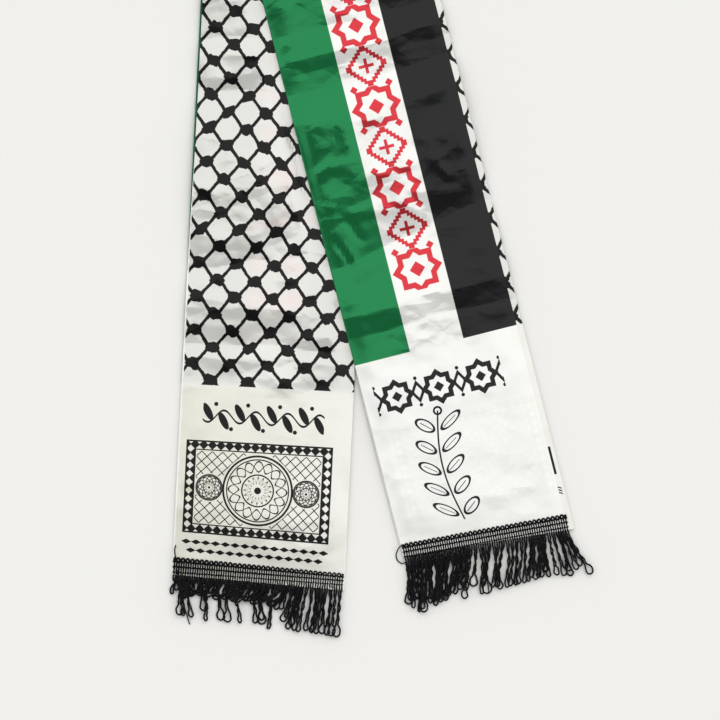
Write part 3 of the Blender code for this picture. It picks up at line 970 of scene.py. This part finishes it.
def smooth_path(points, step):
    """Points at an even step along a smooth curve through the given ones. Further columns come along."""
    points = np.array(points)
    padded = np.vstack((2 * points[0] - points[1], points, 2 * points[-1] - points[-2]))
    curve = []
    for k in range(len(points) - 1):
        a, b, c, d = padded[k : k + 4]
        bend = 2 * a - 5 * b + 4 * c - d
        twist = 3 * b - a - 3 * c + d
        for t in np.linspace(0, 1, 8, endpoint=False):
            curve.append(0.5 * (2 * b + (c - a) * t + bend * t**2 + twist * t**3))
    curve.append(points[-1])
    curve = np.array(curve)
    lengths = np.concatenate(([0.0], np.cumsum(np.linalg.norm(np.diff(curve[:, :3], axis=0), axis=1))))
    count = max(3, round(lengths[-1] / step))
    wanted = np.linspace(0, lengths[-1], count + 1)
    return np.column_stack([np.interp(wanted, lengths, column) for column in curve.T])


class CordMesh:
    """Collects twisted cords: closed tubes whose section has two plies and turns along them."""

    def __init__(self):
        self.vertices = []
        self.faces = []

    def add(self, points, step=CORD_STEP, twist=CORD_TWIST):
        """points are rows of x, y, z and the cord's radius there."""
        path = smooth_path(points, step)
        path, radii = path[:, :3], path[:, 3]
        tangents = np.gradient(path, axis=0)
        tangents /= np.linalg.norm(tangents, axis=1)[:, None]
        up = np.array((0.0, 0.0, 1.0))
        if abs(tangents[0] @ up) > 0.9:
            up = np.array((1.0, 0.0, 0.0))
        sides = len(CORD_LOBES)
        start = len(self.vertices)
        angles = np.arange(sides) * 2 * math.pi / sides
        lobes = np.array(CORD_LOBES)
        turn = random.uniform(0, math.pi)
        for place, tangent, radius in zip(path, tangents, radii):
            up = up - tangent * (up @ tangent)
            up /= np.linalg.norm(up)
            side = np.cross(tangent, up)
            right = np.cos(angles + turn) * lobes * radius
            high = np.sin(angles + turn) * lobes * radius
            self.vertices.extend((place + right[:, None] * side + high[:, None] * up).tolist())
            turn += step / twist * 2 * math.pi
        for k in range(len(path) - 1):
            here = start + k * sides
            for j in range(sides):
                beside = (j + 1) % sides
                self.faces.append((here + j, here + sides + j, here + sides + beside, here + beside))
        self.faces.append(range(start, start + sides))
        self.faces.append(range(len(self.vertices) - 1, len(self.vertices) - sides - 1, -1))

    def mesh(self, name):
        mesh = bpy.data.meshes.new(name)
        mesh.from_pydata(self.vertices, [], self.faces)
        mesh.validate()
        mesh.shade_smooth()
        return mesh


class Hem:
    """Places by a hem: along it to the right, out from it past the hem or back over the cloth, and up."""

    def __init__(self, stretch, lie):
        inward, outward, self.shares = np.array(lie).T
        ends = stretch.plan(stretch.length + outward, (HALF_WIDTH - inward) * (-1, 1))
        self.middle = ends.mean(axis=0)
        self.width = float(np.linalg.norm(ends[1] - ends[0]))
        self.along = (ends[1] - ends[0]) / self.width
        self.out = np.array((self.along[1], -self.along[0]))

    def point(self, right, out, height, radius):
        if out < 0:
            share = np.interp(right / self.width, (-0.5, 0.5), self.shares)
            out = out * share
            radius = radius * share
        place = self.middle + self.along * right + self.out * out
        return [*to_part(np.array((*place, height))), radius]


def bundle_route(end_right, end_out):
    """The middle of a hanging loop, from the hem: first down, then over to where it lies."""
    shares = SWEPT_ROUTE if abs(end_right) > 0.5 * end_out else STRAIGHT_ROUTE
    knee, later = ((right * end_right, out * end_out) for right, out in shares)
    knee = (knee[0] + random.gauss(0, 0.0007), knee[1])
    points = [(0.0, 0.0), (0.02 * end_right, 0.0045), knee, later, (end_right, end_out)]
    return smooth_path([(right, out, 0.0) for right, out in points], CORD_STEP)[:, :2]


def layer_height(number, cord):
    """Height of a loop's middle over the floor. The loops lie in three layers, by turns."""
    return cord * (1.1 + 1.4 * (number * 5 % 3))


def hanging_loop(cords, hem, cord, centre, leg_half, end, eye, level, heading=True):
    """Two legs, side by side in the heading and twisted round each other below it, that end in an eye."""
    start = HEADER_TOP if heading else HEADER_TOP - 2 * cord
    route = bundle_route(*end)
    step = np.linalg.norm(np.diff(route, axis=0), axis=1)
    far = np.concatenate(([0.0], np.cumsum(step)))
    length = far[-1]
    tangent = np.gradient(route, axis=0)
    tangent /= np.linalg.norm(tangent, axis=1)[:, None]
    normal = np.column_stack((tangent[:, 1], -tangent[:, 0]))
    eye_length = 0.0035 + 2.2 * eye
    half_turns = max(1, round((length - 0.005 - eye_length) / (random.uniform(*PAIR_TWIST) / 2)))
    phase = half_turns * math.pi * smooth(far, 0.004, length - eye_length)
    from_tip = np.clip((length - far) / eye_length, 0.0, 1.0)
    opening = eye * np.sqrt(from_tip) * (1 - from_tip) * 2.6
    pair = leg_half + (cord - leg_half) * smooth(far, 0.001, 0.006)
    spread = pair * smooth(from_tip, 0.0, 0.2) * (0.4 + 0.6 * smooth(from_tip, 0.3, 1.0)) + opening
    drop = (start - level) * (1 - smooth(far, 0.0, 0.006))
    wave = 0.00025 * np.sin(far * 2 * math.pi / random.uniform(0.005, 0.009) + random.uniform(0, 6))
    turn = random.choice((-1, 1))
    legs = []
    for side in (-1, 1):
        leg = []
        for out in LEG_BENDS if heading else LEG_BENDS[-1:]:
            leg.append(hem.point(centre + side * leg_half, out, start, HEADER_CORD))
        for k in range(1, len(route) - 1, 2):
            across = side * spread[k] * math.cos(phase[k]) + wave[k]
            up = side * turn * spread[k] * math.sin(phase[k]) * 0.9
            place = route[k] + normal[k] * across
            radius = HEADER_CORD + (cord - HEADER_CORD) * smooth(far[k], 0.001, 0.005)
            height = max(level + drop[k] + up, radius)
            leg.append(hem.point(centre + place[0], place[1], height, radius))
        legs.append(leg)
    tip = route[-1]
    cords.add(legs[0] + [hem.point(centre + tip[0], tip[1], level, cord)] + legs[1][::-1])


def fringe(name, stretch, lie, cord, loops, filling, tails, material, node):
    """The knitted fringe: cord pairs held by warp rows on the hem, and the loops that hang from them."""
    hem = Hem(stretch, lie)
    cords = CordMesh()
    pitch = hem.width / LOOPS
    leg_half = pitch / 4
    filled, extra = filling
    for number, (end_right, end_out, eye) in enumerate(loops):
        centre = (number + 0.5) * pitch - hem.width / 2
        level = layer_height(number, cord) + random.uniform(0, 0.0003)
        end = (end_right * MM, end_out * MM)
        hanging_loop(cords, hem, cord, centre, leg_half, end, eye * MM, level)
        if number >= filled and random.random() > extra:
            continue
        beside = loops[min(number + 1, LOOPS - 1)]
        end_right = (end_right + beside[0]) / 2 + random.gauss(0, 1.6)
        end_out = min(end_out, beside[1]) - random.uniform(-0.5, 3.5)
        end = (end_right * MM, end_out * MM)
        eye = random.uniform(0.8, 1.8)
        level = layer_height(number + 1, cord)
        centre += min(pitch / 2, hem.width / 2 - centre - leg_half)
        hanging_loop(cords, hem, cord, centre, leg_half, end, eye * MM, level, False)
    for number in range(LOOPS + 1):
        centre = number * pitch - hem.width / 2
        left = max(centre - pitch * PICOT_HALF, 0.0004 - hem.width / 2)
        right = min(centre + pitch * PICOT_HALF, hem.width / 2 - 0.0004)
        foot = 0.0006 - TAPE_TOP
        shoulder = -0.0005 - TAPE_TOP
        peak = -TAPE_TOP - PICOT - random.uniform(0, 0.0004)
        arch = (
            (left, foot, HEADER_CORD),
            (left + 0.0001, shoulder, PICOT_CORD * 0.8),
            ((left + right) / 2, peak, PICOT_CORD),
            (right - 0.0001, shoulder, PICOT_CORD * 0.8),
            (right, foot, HEADER_CORD),
        )
        cords.add([hem.point(place, out, HEADER_TOP, radius) for place, out, radius in arch])
    for row, (back, radius) in enumerate(WARP_ROWS):
        chain = []
        steps = LOOPS * 4
        for k in range(steps + 1):
            right = hem.width * (k / steps - 0.5)
            weave = WARP_WEAVE * math.sin(k * math.pi / 2 + row)
            over = WARP_RISE * (2 + math.cos(k * math.pi))
            chain.append(hem.point(right, -back + weave, HEADER_TOP + over, radius))
        cords.add(chain, step=0.0011, twist=0.0026)
    for tail in tails:
        cords.add([hem.point(right * MM, out * MM, height * MM, TAIL_CORD) for right, out, height in tail])
    return add_piece(name, cords.mesh(name), material, node)


def add_camera():
    camera = add_object("Camera", bpy.data.cameras.new("Camera"))
    middle = PHOTO_SIZE / 2
    right = (middle - FOLD_PIXEL[0]) * METRES_PER_PIXEL
    down = (middle - FOLD_PIXEL[1]) * METRES_PER_PIXEL
    camera.location = (FOLD_CENTRE[0] + right, FOLD_CENTRE[1] - down, CAMERA_HEIGHT)
    camera.data.angle = 2 * math.atan(middle * METRES_PER_PIXEL / CAMERA_HEIGHT)
    camera.data.clip_start = 0.01
    bpy.context.scene.camera = camera


def add_sky():
    """A soft studio, bright but for one patch. It is even over the floor."""
    world = bpy.data.worlds.new("Studio")
    world.use_nodes = True
    Field.tree = world.node_tree
    direction = Field(add_node("TexCoord").outputs["Generated"])
    toward = add_node("VectorMath")
    toward.operation = "DOT_PRODUCT"
    fill(toward.inputs[0], direction)
    fill(toward.inputs[1], SKY_BRIGHT_SIDE)
    parts = add_node("SeparateXYZ", Vector=direction)
    levels = []
    for position, values in ((toward.outputs["Value"], SKY_RAMP), (parts.outputs["Z"], SKY_FILL)):
        ramp = add_node("MapRange", Value=Field(position))
        ramp.interpolation_type = "SMOOTHSTEP"
        for name, value in zip(("From Min", "From Max", "To Min", "To Max"), values):
            ramp.inputs[name].default_value = value
        levels.append(Field(ramp.outputs["Result"]))
    background = Field.tree.nodes["Background"]
    background.inputs["Color"].default_value = SKY_COLOUR
    greater(*levels).feed(background, "Strength")
    bpy.context.scene.world = world


def add_studio():
    add_sky()
    data = bpy.data.lights.new("Softbox", "SUN")
    data.energy = SUN_STRENGTH
    data.angle = SUN_ANGLE
    data.color = SUN_COLOUR
    light = add_object("Softbox", data)
    light.rotation_euler = LIGHT_FROM.to_track_quat("Z", "Y").to_euler()
    light.visible_glossy = False
    mesh = bpy.data.meshes.new("Floor")
    bm = bmesh.new()
    bmesh.ops.create_grid(bm, x_segments=1, y_segments=1, size=FLOOR_HALF)
    bm.to_mesh(mesh)
    bm.free()
    floor = add_object("Floor", mesh)
    floor.location.z = -FLOOR_BELOW
    mesh.materials.append(new_material("Pale floor", FLOOR_SHADER)[0])
    bpy.context.scene.view_settings.view_transform = "Standard"


def main():
    add_camera()
    add_studio()
    bands = satin_material("Flag print satin", paint_flag)
    net = satin_material("Net print satin", paint_net)
    yarn = yarn_material()
    flag_cloth = cloth_panel("flag_cloth", True, GREEN_WRAP, NET_WRAP, bands, "flag_panel")
    net_cloth = cloth_panel("net_cloth", False, NET_WRAP, GREEN_WRAP, net, "net_panel")
    looks = (NET, NET_HEM_LIE, NET_FREE_CORD, NET_LOOPS, NET_FILLED, NET_TAILS)
    net_fringe = fringe("net_end_loops", *looks, yarn, "net_end_fringe")
    looks = (FLAG, FLAG_HEM_LIE, FLAG_FREE_CORD, FLAG_LOOPS, FLAG_FILLED, FLAG_TAILS)
    flag_fringe = fringe("flag_end_loops", *looks, yarn, "flag_end_fringe")


main()
